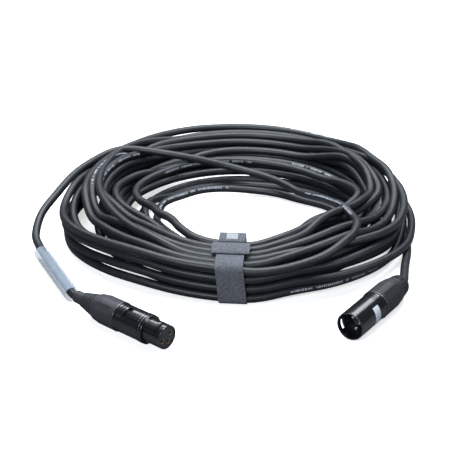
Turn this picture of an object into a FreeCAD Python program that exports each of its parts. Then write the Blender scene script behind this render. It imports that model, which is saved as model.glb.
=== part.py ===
import FreeCAD, Part
import math
import os
import re
import Sketcher

# A wound microphone lead with a female and a male three-pin line connector, held by a fabric tie.
# The surface it lies on is z = 0. Each connector is drawn along its own X axis, which starts at the
# middle of the mating face and runs back towards the cable, with +Z towards the latch side.

doc = FreeCAD.newDocument("cable_coil")
Vector = FreeCAD.Vector

SIZES = [
    ("cable_diameter", 6.0, "outside diameter of the cable jacket"),
    ("cable_corner_radius", 3.2, "centre to corner of the six-sided section that stands for the round cable"),
    ("coil_centre_x", 10.8, "coil centre from the middle of the whole footprint"),
    ("coil_centre_y", 26.9, "coil centre from the middle of the whole footprint"),
    ("coil_turned", -4.5, "the tie's place from the very front, in degrees"),
    ("coil_loops_per_layer", 6, "loops laid in or out in one layer"),
    ("coil_first_turn", 0.75, "where the wound part starts, in turns from the back"),
    ("coil_last_turn", 23.5, "where the wound part ends, in turns from the back"),
    ("coil_base_height", 3.4, "height of the lowest layer's centre line"),
    ("coil_tie_height", 4.6, "the same, where the tie passes under the bundle"),
    ("coil_layer_step", 7.2, "height from one layer to the next"),
    ("coil_back_radius", 138.0, "outermost centre line at the back"),
    ("coil_back_pitch", 15.4, "step from loop to loop at the back, lowest layer"),
    ("coil_back_narrowing", 0.5, "share of that step lost by the top layer"),
    ("coil_left_radius", 132.0, "outermost centre line at the left"),
    ("coil_left_pitch", 12.2, "step from loop to loop at the left, lowest layer"),
    ("coil_left_narrowing", 0.4, "share of that step lost by the top layer"),
    ("coil_front_radius", 131.5, "outermost centre line at the tie"),
    ("coil_front_pitch", 7.0, "step from loop to loop at the tie"),
    ("coil_front_narrowing", 0.0, "the tie draws all layers in alike"),
    ("coil_right_radius", 131.8, "outermost centre line at the right"),
    ("coil_right_pitch", 11.3, "step from loop to loop at the right, lowest layer"),
    ("coil_right_narrowing", 0.36, "share of that step lost by the top layer"),
    ("shell_radius", 9.5, "outside of both connector shells"),
    ("mouth_radius", 8.3, "bore of the male mouth, and of both shells behind it"),
    ("rear_bore_radius", 7.2, "bore of the shell's threaded nose"),
    ("thread_radius", 8.0, "outside of the shell's threaded nose"),
    ("thread_length", 5.0, "length of the threaded nose"),
    ("thread_gap", 0.3, "radial gap of the nut over the nose"),
    ("seat_gap", 0.04, "radial gap of fixed pieces in their seats"),
    ("groove_depth", 0.4, "depth of the fine rings turned in the shells"),
    ("groove_width", 0.9, "width of each of those rings"),
    ("groove_step", 2.0, "from one ring to the next"),
    ("insert_length", 11.0, "length of the male contact block"),
    ("contact_circle", 4.05, "radius of the circle of three contacts"),
    ("male_shell_length", 32.5, "mouth to nut of the male connector"),
    ("male_rings_start", 25.6, "first fine ring of the male shell"),
    ("insert_depth", 15.5, "mouth to the face of the male block"),
    ("window_start", 3.0, "rim to the latch window in the male mouth"),
    ("window_length", 3.2, "length of that window along the axis"),
    ("window_width", 7.0, "width of that window"),
    ("pin_radius", 1.2, "male contact pin"),
    ("pin_recess", 5.5, "pin tips behind the rim of the mouth"),
    ("pin_tip", 0.5, "chamfer at the pin tip"),
    ("cup_radius", 1.5, "outside of a solder cup"),
    ("cup_bore", 1.0, "bore of a solder cup"),
    ("cup_length", 5.5, "length of a solder cup behind the block"),
    ("barrel_radius", 7.95, "outside of the female barrel"),
    ("barrel_bore", 7.35, "bore of the female barrel"),
    ("barrel_length", 14.5, "length of the female barrel ahead of its collar"),
    ("collar_radius", 9.75, "outside of the collar"),
    ("collar_length", 4.2, "length of the collar"),
    ("female_shell_length", 39.0, "face to nut of the female connector"),
    ("female_rings_start", 34.0, "first fine ring of the female shell"),
    ("female_insert_length", 24.0, "length of the female contact block"),
    ("face_recess", 0.3, "female block behind the barrel's rim"),
    ("socket_radius", 1.9, "outside of a female contact"),
    ("socket_bore", 1.25, "bore of a female contact"),
    ("socket_depth", 15.0, "depth of that bore"),
    ("socket_recess", 0.8, "contact behind the face of the block"),
    ("key_width", 1.4, "width of the two key slots in the barrel"),
    ("key_angle", 46.0, "key slots from the latch, in degrees"),
    ("latch_slot_width", 7.6, "width of the slot for the latch in the female shell"),
    ("latch_gap", 0.35, "gap round the latch"),
    ("latch_front", 3.6, "face to the tip of the latch"),
    ("latch_rear", 31.6, "face to the rear end of the latch"),
    ("latch_floor", 6.4, "underside of the latch from the axis"),
    ("latch_well", 4.95, "floor of the well under the latch, from the axis"),
    ("hook_rise", 0.9, "hook above the barrel"),
    ("hook_length", 2.4, "length of the hook"),
    ("latch_pin_radius", 0.6, "pin on which the latch turns"),
    ("latch_pin_gap", 0.06, "radial running gap of the latch on its pin"),
    ("latch_pin_height", 7.1, "pin from the axis"),
    ("latch_pin_inset", 1.6, "pin ahead of the latch's rear end"),
    ("spring_thickness", 0.25, "leaf spring under the latch"),
    ("spring_width", 3.0, "leaf spring under the latch"),
    ("spring_front", 14.0, "front foot of the leaf spring"),
    ("spring_length", 10.0, "length of the leaf spring"),
    ("bushing_radius", 10.0, "rear nut at its front edge"),
    ("bushing_rear_radius", 9.0, "rear nut at its back edge"),
    ("male_bushing_length", 25.5, "length of the male rear nut"),
    ("female_bushing_length", 21.0, "length of the female rear nut"),
    ("nut_gap", 0.1, "nut from the shoulder of the shell"),
    ("bushing_lip", 0.9, "plain rim at the front of the nut"),
    ("bushing_bore", 6.9, "bore of the nut round the collet"),
    ("bushing_end_wall", 2.0, "wall at the back of the nut"),
    ("grip_depth", 0.7, "depth of the grip panels in the nut"),
    ("grip_width", 5.4, "width of a grip panel"),
    ("grip_count", 6, "number of grip panels"),
    ("cable_gap", 0.4, "radial gap of nut and boot over the cable"),
    ("chuck_radius", 6.4, "outside of the collet"),
    ("chuck_length", 12.0, "length of the collet"),
    ("chuck_gap", 0.3, "radial gap of the collet over the cable"),
    ("chuck_slot", 1.2, "width of the slots between its fingers"),
    ("male_boot_length", 12.5, "length of the male boot"),
    ("female_boot_length", 21.0, "length of the female boot"),
    ("boot_front_radius", 8.2, "boot where it leaves the nut"),
    ("boot_tip_radius", 4.4, "boot at its tip"),
    ("female_boot_tip_length", 6.5, "plain tip of the female boot"),
    ("female_boot_rings", 5, "rings of the female boot"),
    ("female_boot_groove", 1.1, "depth between those rings"),
    ("male_boot_rows", 3, "rows of knobs round the male boot"),
    ("male_boot_row_step", 2.6, "from one row of knobs to the next"),
    ("male_boot_knobs", 16, "knobs in a row"),
    ("male_boot_groove", 0.7, "depth between the knobs"),
    ("male_boot_groove_width", 0.9, "width of the grooves between them"),
    ("jacket_back", 7.0, "jacket end behind the contact cups"),
    ("wire_radius", 0.55, "insulated core"),
    ("wire_gap", 0.2, "cores from the end of the jacket"),
    ("wire_circle", 1.35, "cores where they leave the jacket"),
    ("connector_height", 10.3, "axis of both connectors above the surface"),
    ("male_mouth_x", 67.0, "male mouth from the coil centre"),
    ("male_mouth_y", -176.0, "male mouth from the coil centre"),
    ("male_yaw", 55.0, "direction of the male connector's axis, in degrees"),
    ("male_roll", 107.5, "roll of the male latch side from straight up, in degrees"),
    ("female_face_x", -48.0, "female face from the coil centre"),
    ("female_face_y", -189.0, "female face from the coil centre"),
    ("female_yaw", 140.0, "direction of the female connector's axis, in degrees"),
    ("female_roll", 21.0, "roll of the latch from straight up, in degrees"),
    ("lead_straight", 20.0, "wound part to the first corner of each lead"),
    ("exit_length", 3.5, "boot to the corner of the bend behind it"),
    ("exit_bend", 3.2, "that corner to where its bend starts and ends"),
    ("label_bore", 4.7, "bore radius of the label sleeve"),
    ("label_wall", 0.5, "wall of the label sleeve"),
    ("label_length", 72.0, "length of the label sleeve"),
    ("label_seat", 0.05, "gap where the sleeve hangs on the cable"),
    ("label_start", 3.4, "sleeve from the bend behind the female boot"),
    ("strap_width", 19.0, "width of the tie's strap"),
    ("strap_thickness", 1.0, "thickness of the tie's strap"),
    ("strap_gap", 0.35, "strap from the cable bundle"),
    ("strap_inner_gap", 1.3, "the same on the inner side, where the loops fan out most"),
    ("strap_corner", 4.0, "inside corner radius of the tied strap"),
    ("strap_layer_gap", 0.2, "air between two layers of the strap"),
    ("head_width", 26.0, "width of the tie's slotted head"),
    ("head_length", 27.0, "length of that head over the bundle"),
    ("slot_place", 10.0, "slot of the head from the inner edge of the bundle"),
    ("slot_opening", 2.4, "length of that slot"),
    ("tail_drop", 13.0, "tail hanging down behind the bundle"),
]

sheet = doc.addObject("Spreadsheet::Sheet", "Sizes")
for row, (alias, amount, meaning) in enumerate(SIZES, start=1):
    sheet.set(f"A{row}", meaning)
    sheet.set(f"B{row}", str(amount))
    sheet.setAlias(f"B{row}", alias)
doc.recompute()

ALIASES = {alias for alias, amount, meaning in SIZES}
parts = {}


def bound(term):
    """A term in plain size names, as an expression that reads the sheet."""
    return re.sub(r"[a-z][a-z_]*", lambda m: "Sizes." + m[0] if m[0] in ALIASES else m[0], term)


def size(term):
    """The number that such a term stands for."""
    return float(sheet.evalExpression(bound(term)))


def keep(node, feature, placement=FreeCAD.Placement()):
    """Give a finished feature its node name and its place in the part."""
    feature.Label = node
    feature.Placement = placement
    parts[node] = feature


def turned(name, outline):
    """A piece turned about X from corners given as (place along X, radius)."""
    body = doc.addObject("PartDesign::Body", name)
    sketch = body.newObject("Sketcher::SketchObject", name + "_profile")
    plane = [f for f in body.Origin.OriginFeatures if f.Role == "XY_Plane"][0]
    sketch.AttachmentSupport = [(plane, "")]
    sketch.MapMode = "FlatFace"
    corners = [Vector(size(x), size(radius), 0) for x, radius in outline]
    for start, end in zip(corners, corners[1:] + corners[:1]):
        sketch.addGeometry(Part.LineSegment(start, end))
    count = len(corners)
    for i in range(count):
        sketch.addConstraint(Sketcher.Constraint("Coincident", i, 2, (i + 1) % count, 1))
    for i, (x, radius) in enumerate(outline):
        for kind, axis, term in (("DistanceX", -2, x), ("DistanceY", -1, radius)):
            if size(term) == 0:
                sketch.addConstraint(Sketcher.Constraint("PointOnObject", i, 1, axis))
                continue
            index = sketch.addConstraint(Sketcher.Constraint(kind, -1, 1, i, 1, size(term)))
            sketch.setExpression(f"Constraints[{index}]", bound(term))
    revolution = body.newObject("PartDesign::Revolution", name + "_turned")
    revolution.Profile = sketch
    revolution.ReferenceAxis = (sketch, ["H_Axis"])
    revolution.Angle = 360.0
    sketch.Visibility = False
    return body


def block(name, x, y, z, turn=0.0):
    """A box between two places on each axis, turned about X by some degrees."""
    box = doc.addObject("Part::Box", name)
    for side, (low, high) in zip(("Length", "Width", "Height"), (x, y, z)):
        box.setExpression(side, bound(f"({high}) - ({low})"))
    spin = FreeCAD.Rotation(Vector(1, 0, 0), turn)
    corner = Vector(size(x[0]), size(y[0]), size(z[0]))
    box.Placement = FreeCAD.Placement(spin.multVec(corner), spin)
    return box


def rod(name, radius, x, y="0", z="0"):
    """A cylinder along X between two places."""
    cylinder = doc.addObject("Part::Cylinder", name)
    cylinder.setExpression("Radius", bound(radius))
    cylinder.setExpression("Height", bound(f"({x[1]}) - ({x[0]})"))
    along = FreeCAD.Rotation(Vector(0, 1, 0), 90)
    cylinder.Placement = FreeCAD.Placement(Vector(size(x[0]), size(y), size(z)), along)
    return cylinder


def joined(name, pieces):
    """Several pieces as one."""
    if len(pieces) == 1:
        return pieces[0]
    fuse = doc.addObject("Part::MultiFuse", name)
    fuse.Shapes = pieces
    return fuse


def cut(name, base, tools):
    """A piece with others taken out of it."""
    result = doc.addObject("Part::Cut", name)
    result.Base = base
    result.Tool = joined(name + "_tools", tools)
    return result


def common(name, first, second):
    """What two pieces share."""
    result = doc.addObject("Part::Common", name)
    result.Base = first
    result.Tool = second
    return result


def connector_place(end):
    """Where a connector lies: its mating face, the way it points and its roll."""
    mouth = "mouth" if end == "male" else "face"
    x = size(f"coil_centre_x + {end}_{mouth}_x")
    y = size(f"coil_centre_y + {end}_{mouth}_y")
    yaw = FreeCAD.Rotation(Vector(0, 0, 1), size(f"{end}_yaw"))
    roll = FreeCAD.Rotation(Vector(1, 0, 0), -size(f"{end}_roll"))
    return FreeCAD.Placement(Vector(x, y, size("connector_height")), yaw.multiply(roll))


# Contacts stand at three of the four corners of a square, with the middle one away from the latch
CONTACT_PLACES = [("contact_circle", "0"), ("-contact_circle", "0"), ("0", "-contact_circle")]


def ringed(start, count, radius):
    """Corners of the fine rings turned in a shell, from its first ring on."""
    corners = []
    for i in range(count):
        low = f"{start} + {i} * groove_step"
        corners += [(low, radius), (f"{low} + groove_width / 2", f"{radius} - groove_depth"),
                    (f"{low} + groove_width", radius)]
    return corners


def threaded_nose(length):
    """Corners of the shell's rear end, with its threaded nose and the bore through it."""
    end = f"{length} + thread_length"
    return [(length, "shell_radius"), (length, "thread_radius"),
            (f"{end} - 0.6", "thread_radius"), (end, "thread_radius - 0.6"),
            (end, "rear_bore_radius")]


def rear_end(end, length, place):
    """Collet, nut and boot behind a shell of some length."""
    grip = f"{length} + thread_length + 1.0"
    fingers = turned(f"{end}_chuck_blank", [
        (grip, "cable_diameter / 2 + chuck_gap"), (grip, "chuck_radius - 0.8"),
        (f"{grip} + 1.2", "chuck_radius"), (f"{grip} + chuck_length - 4", "chuck_radius"),
        (f"{grip} + chuck_length", "chuck_radius - 1.8"),
        (f"{grip} + chuck_length", "cable_diameter / 2 + chuck_gap")])
    slots = [block(f"{end}_chuck_slot_{i}", (f"{grip} + 4", f"{grip} + chuck_length + 1"),
                   ("-chuck_slot / 2", "chuck_slot / 2"), ("0", "chuck_radius + 1"), 90.0 * i)
             for i in range(4)]
    keep(f"{end}_chuck", cut(f"{end}_chuck", fingers, slots), place)

    nut_length = f"{end}_bushing_length"
    back = f"{length} + {nut_length}"
    blank = turned(f"{end}_bushing_blank", [
        (f"{length} + nut_gap", "thread_radius + thread_gap"),
        (f"{length} + nut_gap", "bushing_radius - 0.3"),
        (f"{length} + nut_gap + 0.3", "bushing_radius"), (f"{length} + bushing_lip", "bushing_radius"),
        (f"{length} + {nut_length} * 0.7", "bushing_radius - 0.1"),
        (f"{back} - 0.8", "bushing_rear_radius"), (back, "bushing_rear_radius - 0.8"),
        (back, "cable_diameter / 2 + cable_gap"),
        (f"{back} - bushing_end_wall", "cable_diameter / 2 + cable_gap"),
        (f"{back} - bushing_end_wall", "bushing_bore - 1.0"),
        (f"{back} - bushing_end_wall - 3", "bushing_bore"),
        (f"{length} + thread_length + 0.6", "bushing_bore"),
        (f"{length} + thread_length + 0.6", "thread_radius + thread_gap")])
    step = 360.0 / size("grip_count")
    panels = [block(f"{end}_grip_{i}", (f"{length} + 3.5", f"{back} - 3.5"),
                    ("-grip_width / 2", "grip_width / 2"),
                    ("bushing_radius - grip_depth", "bushing_radius + 1"), step * (i + 0.5))
              for i in range(int(size("grip_count")))]
    keep(f"{end}_bushing", cut(f"{end}_bushing", blank, panels), place)
    boot = female_boot(back) if end == "female" else male_boot(back)
    keep(f"{end}_boot", boot, place)


def female_boot(back):
    """A boot with rings that shrink towards its tip."""
    rings = int(size("female_boot_rings"))
    ring = f"(female_boot_length - female_boot_tip_length) / {rings}"
    shrink = "(boot_front_radius - boot_tip_radius - 0.4)"
    corners = [(back, "cable_diameter / 2 + cable_gap"), (back, "boot_front_radius")]
    for i in range(rings):
        low = f"{back} + {i} * {ring}"
        radius = f"boot_front_radius - {shrink} * {i} / {rings}"
        corners += [(f"{low} + 0.6 * {ring}", f"{radius} - 0.25")]
        corners += [(f"{low} + 0.6 * {ring}", f"{radius} - female_boot_groove")]
        corners += [(f"{low} + {ring}", f"{radius} - female_boot_groove")]
        if i < rings - 1:
            corners += [(f"{low} + {ring}", f"{radius} - {shrink} / {rings}")]
    tip = f"{back} + female_boot_length"
    corners[-1] = (corners[-1][0], "boot_tip_radius")
    corners += [(f"{tip} - 0.6", "boot_tip_radius - 0.2"), (tip, "boot_tip_radius - 0.6"),
                (tip, "cable_diameter / 2 + cable_gap")]
    return turned("female_boot", corners)


def male_boot(back):
    """A short rounded boot with rows of knobs, left by grooves round it and along it."""
    tip = f"{back} + male_boot_length"
    corners = [(back, "cable_diameter / 2 + cable_gap"), (back, "boot_front_radius")]
    rows = int(size("male_boot_rows"))
    for i in range(1, rows + 1):
        low = f"{back} + {i} * male_boot_row_step"
        radius = f"boot_front_radius - {0.1 * i * i}"
        corners += [(low, radius),
                    (f"{low} + male_boot_groove_width / 2", f"{radius} - male_boot_groove"),
                    (f"{low} + male_boot_groove_width", radius)]
    corners += [(f"{tip} - 2.2", "boot_front_radius - 1.5"), (f"{tip} - 0.8", "boot_front_radius - 2.6"),
                (tip, "boot_tip_radius"), (tip, "cable_diameter / 2 + cable_gap")]
    body = turned("male_boot_form", corners)
    step = 360.0 / size("male_boot_knobs")
    half = "male_boot_groove_width / 2"
    slots = [block(f"male_boot_groove_{i}",
                   (f"{back} + male_boot_row_step", f"{back} + {rows} * male_boot_row_step"),
                   (f"-{half}", half),
                   ("boot_front_radius - 0.5 - male_boot_groove", "boot_front_radius + 1"), step * i)
             for i in range(int(size("male_boot_knobs")))]
    return cut("male_boot", body, slots)


def solder_wires(end, cups_end, place):
    """Three cores, from the jacket's end to the cups of the contacts."""
    cores = []
    start_x = size(f"{cups_end} - 1.0")
    end_x = size(f"{cups_end} + jacket_back - wire_gap")
    share = size("wire_circle / contact_circle")
    for y, z in CONTACT_PLACES:
        cup = Vector(start_x, size(y), size(z))
        jacket = Vector(end_x, size(y) * share, size(z) * share)
        cores.append(Part.makeCylinder(size("wire_radius"), (jacket - cup).Length, cup, jacket - cup))
    feature = doc.addObject("Part::Feature", f"{end}_wires")
    feature.Shape = Part.makeCompound(cores)
    keep(f"{end}_wires", feature, place)


def male_connector():
    place = connector_place("male")
    block_back = "insert_depth + insert_length"
    tube = turned("male_shell_tube", [
        ("0", "mouth_radius + 0.3"), ("0", "shell_radius - 0.3"), ("0.3", "shell_radius")]
        + ringed("male_rings_start", 3, "shell_radius") + threaded_nose("male_shell_length")
        + [(block_back, "rear_bore_radius"), (block_back, "mouth_radius"), ("0.3", "mouth_radius")])
    window = block("male_window", ("window_start", "window_start + window_length"),
                   ("-window_width / 2", "window_width / 2"), ("mouth_radius - 2", "shell_radius + 1"))
    keep("male_shell", cut("male_shell", tube, [window]), place)

    disc = turned("male_insert_disc", [
        ("insert_depth", "0"), ("insert_depth", "mouth_radius - seat_gap - 0.4"),
        ("insert_depth + 0.4", "mouth_radius - seat_gap"), (block_back, "mouth_radius - seat_gap"),
        (block_back, "0")])
    holes = [rod(f"male_insert_hole_{i}", "cup_radius + seat_gap",
                 ("insert_depth - 1", f"{block_back} + 1"), y, z)
             for i, (y, z) in enumerate(CONTACT_PLACES, start=1)]
    keep("male_insert", cut("male_insert", disc, holes), place)

    cup_end = f"{block_back} + cup_length"
    for i, (y, z) in enumerate(CONTACT_PLACES, start=1):
        pin = turned(f"male_pin_{i}", [
            ("pin_recess", "0"), ("pin_recess", "pin_radius - pin_tip"),
            ("pin_recess + pin_tip", "pin_radius"), ("insert_depth", "pin_radius"),
            ("insert_depth", "cup_radius"), (cup_end, "cup_radius"), (cup_end, "cup_bore"),
            (f"{cup_end} - 3", "cup_bore"), (f"{cup_end} - 3", "0")])
        offset = FreeCAD.Placement(Vector(0, size(y), size(z)), FreeCAD.Rotation())
        keep(f"male_pin_{i}", pin, place.multiply(offset))
    solder_wires("male", cup_end, place)
    rear_end("male", "male_shell_length", place)
    return place


def female_connector():
    place = connector_place("female")
    collar_end = "barrel_length + collar_length"
    collar = [("barrel_length", "barrel_radius"), ("barrel_length", "collar_radius - 0.5"),
              ("barrel_length + 0.5", "collar_radius")]
    for i in range(3):
        low = f"barrel_length + 1.0 + {i} * 0.95"
        collar += [(low, "collar_radius"), (f"{low} + 0.24", "collar_radius - groove_depth"),
                   (f"{low} + 0.48", "collar_radius")]
    tube = turned("female_shell_tube", [
        ("0", "barrel_bore"), ("0", "barrel_radius - 0.4"), ("0.4", "barrel_radius")]
        + collar + [(collar_end, "collar_radius"), (f"{collar_end} + 0.3", "shell_radius")]
        + ringed("female_rings_start", 2, "shell_radius") + threaded_nose("female_shell_length")
        + [("female_insert_length + 2", "rear_bore_radius"), ("female_insert_length + 2", "barrel_bore")])
    half_slot = "latch_slot_width / 2"
    slot = block("female_latch_opening", ("latch_front - latch_gap", "latch_rear + latch_gap"),
                 (f"-{half_slot}", half_slot), ("latch_well", "collar_radius + 1"))
    keys = [block(f"female_key_{side}", ("-1", "barrel_length - 1.2"), ("-key_width / 2", "key_width / 2"),
                  ("barrel_radius - 0.45", "barrel_radius + 1"), side * size("key_angle"))
            for side in (-1, 1)]
    pin_x = "latch_rear - latch_pin_inset"
    pin_reach = f"{half_slot} + 1.0"

    def cross_rod(name, radius, reach):
        cylinder = doc.addObject("Part::Cylinder", name)
        cylinder.setExpression("Radius", bound(radius))
        cylinder.setExpression("Height", bound(f"2 * ({reach})"))
        across = FreeCAD.Rotation(Vector(1, 0, 0), -90)
        start = Vector(size(pin_x), -size(reach), size("latch_pin_height"))
        cylinder.Placement = FreeCAD.Placement(start, across)
        return cylinder

    seat = cross_rod("female_pin_seat", "latch_pin_radius + seat_gap", pin_reach)
    keep("female_shell", cut("female_shell", tube, [slot] + keys + [seat]), place)

    disc = turned("female_insert_disc", [
        ("face_recess", "0"), ("face_recess", "barrel_bore - seat_gap - 0.3"),
        ("face_recess + 0.3", "barrel_bore - seat_gap"),
        ("female_insert_length", "barrel_bore - seat_gap"), ("female_insert_length", "0")])
    well = block("female_insert_well", ("latch_front - latch_gap", "female_insert_length + 1"),
                 (f"-{half_slot}", half_slot), ("latch_well", "barrel_radius + 1"))
    holes = [rod(f"female_insert_hole_{i}", "socket_radius + seat_gap",
                 ("-1", "female_insert_length + 1"), y, z)
             for i, (y, z) in enumerate(CONTACT_PLACES, start=1)]
    keep("female_insert", cut("female_insert", disc, [well] + holes), place)

    cup_end = "female_insert_length + cup_length"
    for i, (y, z) in enumerate(CONTACT_PLACES, start=1):
        contact = turned(f"female_contact_{i}", [
            ("socket_recess", "socket_bore + 0.2"), ("socket_recess", "socket_radius"),
            ("female_insert_length", "socket_radius"), ("female_insert_length", "cup_radius"),
            (cup_end, "cup_radius"), (cup_end, "cup_bore"), (f"{cup_end} - 3", "cup_bore"),
            (f"{cup_end} - 3", "0"), ("socket_recess + socket_depth", "0"),
            ("socket_recess + socket_depth", "socket_bore"), ("socket_recess + 0.2", "socket_bore")])
        offset = FreeCAD.Placement(Vector(0, size(y), size(z)), FreeCAD.Rotation())
        keep(f"female_contact_{i}", contact, place.multiply(offset))

    # the latch: hook, tongue along the barrel, step over the collar and button flush with the shell
    lever_form = turned("female_latch_form", [
        ("latch_front", "latch_floor - 2"), ("latch_front", "barrel_radius"),
        ("latch_front + 0.9", "barrel_radius + hook_rise"),
        ("latch_front + hook_length", "barrel_radius + hook_rise"),
        ("latch_front + hook_length", "barrel_radius"), ("barrel_length - 0.6", "barrel_radius"),
        ("barrel_length + 0.6", "shell_radius"), ("latch_rear - 4", "shell_radius"),
        ("latch_rear", "shell_radius - 1.2"), ("latch_rear", "latch_floor - 2")])
    lever_plan = block("female_latch_plan", ("latch_front", "latch_rear"),
                       (f"-({half_slot} - latch_gap)", f"{half_slot} - latch_gap"),
                       ("latch_floor", "shell_radius + 1"))
    lever = common("female_latch_lever", lever_form, lever_plan)
    eye = cross_rod("female_latch_eye", "latch_pin_radius + latch_pin_gap", pin_reach)
    keep("female_latch", cut("female_latch", lever, [eye]), place)
    keep("female_latch_pin", cross_rod("female_latch_pin", "latch_pin_radius", f"{pin_reach} - 0.1"), place)
    pin_local = Vector(size(pin_x), -size(f"{pin_reach} - 0.1"), size("latch_pin_height"))
    across = FreeCAD.Placement(pin_local, FreeCAD.Rotation(Vector(1, 0, 0), -90))
    parts["female_latch_pin"].Placement = place.multiply(across)

    # the leaf spring stands on the block with both feet and lifts the latch with its crown
    foot, length = size("spring_front"), size("spring_length")
    low, high = size("latch_well + 0.02"), size("latch_floor - 0.06")
    leaf = size("spring_thickness")
    side = [(foot, low), (foot + length / 2, high - leaf), (foot + length, low),
            (foot + length, low + leaf), (foot + length / 2, high), (foot, low + leaf)]
    start = Vector(0, -size("spring_width") / 2, 0)
    outline = [Vector(x, 0, z) + start for x, z in side]
    spring = doc.addObject("Part::Feature", "female_latch_spring")
    face = Part.Face(Part.makePolygon(outline + outline[:1]))
    spring.Shape = face.extrude(Vector(0, size("spring_width"), 0))
    keep("female_latch_spring", spring, place)
    solder_wires("female", cup_end, place)
    rear_end("female", "female_shell_length", place)
    return place


def arc_between(start, end, heading, at_end=False):
    """The arc from start to end that has a given heading at its start, or at its end."""
    chord = end - start
    along = chord * (1 / chord.Length)
    side = heading - along * heading.dot(along)
    if side.Length < 1e-9:
        return Part.LineSegment(start, end).toShape()
    side = unit(side) * (-1 if at_end else 1)
    half_turn = math.acos(max(-1.0, min(1.0, heading.dot(along))))
    middle = (start + end) * 0.5 + side * (chord.Length / 2 * math.tan(half_turn / 2))
    return Part.Arc(start, middle, end).toShape()


def biarc(start, heading, end, arrival):
    """Two arcs that join two places with the headings given there."""
    gap = end - start
    a = gap.dot(heading + arrival)
    b = 2 * (1 - heading.dot(arrival))
    reach = (math.sqrt(a * a + b * gap.dot(gap)) - a) / b
    middle = (start + heading * reach + end - arrival * reach) * 0.5
    return [arc_between(start, middle, heading), arc_between(middle, end, arrival, at_end=True)]


def unit(vector):
    return vector * (1 / vector.Length)


def pipe(edges, profile):
    """One unbroken tube of a profile along tangent edges."""
    spine = Part.Wire(edges)
    return spine.makePipeShell([profile], True, False)


def cable_section(start, heading):
    """The six-sided section of the cable across its first run, with one corner up."""
    outward = unit(heading.cross(Vector(0, 0, 1)))
    upward = outward.cross(heading)
    radius = size("cable_corner_radius")
    corners = []
    for i in range(6):
        angle = math.radians(60 * i + 30)
        corners.append(start + outward * (radius * math.cos(angle)) + upward * (radius * math.sin(angle)))
    return Part.makePolygon(corners + corners[:1])


def volume_share(solid, length):
    """Volume of a swept cable over that of its section times its length."""
    return solid.Volume / (3 * math.sqrt(3) / 2 * size("cable_corner_radius") ** 2 * length)


STATIONS = ("back", "left", "front", "right")


def coil_place(turns):
    """Centre of the wound cable after some turns from the back, at one of four stations."""
    station = STATIONS[round(turns * 4) % 4]
    loops = size("coil_loops_per_layer")
    spiral = turns % (2 * loops)
    inward = spiral if spiral < loops else 2 * loops - spiral
    layer = math.floor(turns / loops)
    climb = turns - loops * round(turns / loops)
    if abs(climb) < 0.26 and round(turns / loops) > 0:
        layer = round(turns / loops) - 0.5 + 2 * climb
    narrowed = math.floor((turns - 0.26) / loops) / 3
    pitch = size(f"coil_{station}_pitch") * (1 - size(f"coil_{station}_narrowing") * narrowed)
    radius = size(f"coil_{station}_radius") - inward * pitch
    angle = math.pi / 2 + 2 * math.pi * turns
    base = size("coil_tie_height" if station == "front" else "coil_base_height")
    height = base + layer * size("coil_layer_step")
    return Vector(radius * math.cos(angle), radius * math.sin(angle), height)


def coil_heading(turns):
    """The way the cable runs there, level unless it climbs both before and after."""
    before = coil_place(turns) - coil_place(turns - 0.25)
    after = coil_place(turns + 0.25) - coil_place(turns)
    heading = before + after
    if before.z * after.z <= 1e-9:
        heading.z = 0
    return unit(heading)


def wound_cable():
    """About 23 loops in four layers that spiral in and out, as one unbroken tube."""
    first, last = size("coil_first_turn"), size("coil_last_turn")
    straight = size("cable_diameter")
    steps = round((last - first) * 4)
    turns = [first + i / 4 for i in range(steps + 1)]
    start = coil_place(first) - coil_heading(first) * straight
    end = coil_place(last) + coil_heading(last) * straight
    edges = [Part.LineSegment(start, coil_place(first)).toShape()]
    for a, b in zip(turns, turns[1:]):
        edges += biarc(coil_place(a), coil_heading(a), coil_place(b), coil_heading(b))
    edges.append(Part.LineSegment(coil_place(last), end).toShape())
    heading = coil_heading(first)
    solid = pipe(edges, cable_section(start, heading))
    length = sum(edge.Length for edge in edges)
    print(f"wound cable {length:.0f} mm, volume over section and length {volume_share(solid, length):.4f}")
    bends = [edge.Curve.Radius for edge in edges if hasattr(edge.Curve, "Radius")]
    print(f"tightest bend of the coil {min(bends):.1f} mm")
    gap, where = self_gap(edges, size("2 * cable_corner_radius"))
    print(f"least gap of the coil to itself {gap:.2f} mm, at {where}")
    feature = doc.addObject("Part::Feature", "cable_coil")
    feature.Shape = solid
    keep("cable_coil", feature, coil_frame)
    # each lead leaves its end straight on, as far as its first bend
    on = size("lead_straight")
    ends = [(start, start - heading * on), (end, end + coil_heading(last) * on)]
    return [[coil_frame.multVec(place) for place in pair] for pair in ends]


def self_gap(edges, width):
    """Least distance between loops, across the cable, measured on points along the edges."""
    spacing, cell = 2.0, 12.0
    points, grid, travelled = [], {}, 0.0
    for edge in edges:
        count = max(2, int(edge.Length / spacing))
        for i in range(count):
            at = edge.getParameterByLength(edge.Length * i / count)
            points.append((travelled + edge.Length * i / count, edge.valueAt(at), edge.tangentAt(at)))
        travelled += edge.Length
    for number, (along, point, heading) in enumerate(points):
        key = tuple(int(value // cell) for value in point)
        grid.setdefault(key, []).append(number)
    least, where = cell, None
    for along, point, heading in points:
        home = [int(value // cell) for value in point]
        near = [(home[0] + i, home[1] + j, home[2] + k)
                for i in (-1, 0, 1) for j in (-1, 0, 1) for k in (-1, 0, 1)]
        for other in (number for key in near for number in grid.get(key, [])):
            if points[other][0] - along < 8 * width:
                continue
            gap = points[other][1] - point
            across = (gap - heading * gap.dot(heading)).Length
            if across < least and abs(gap.dot(heading)) < spacing:
                least, where = across, point
    return least - width, where


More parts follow.
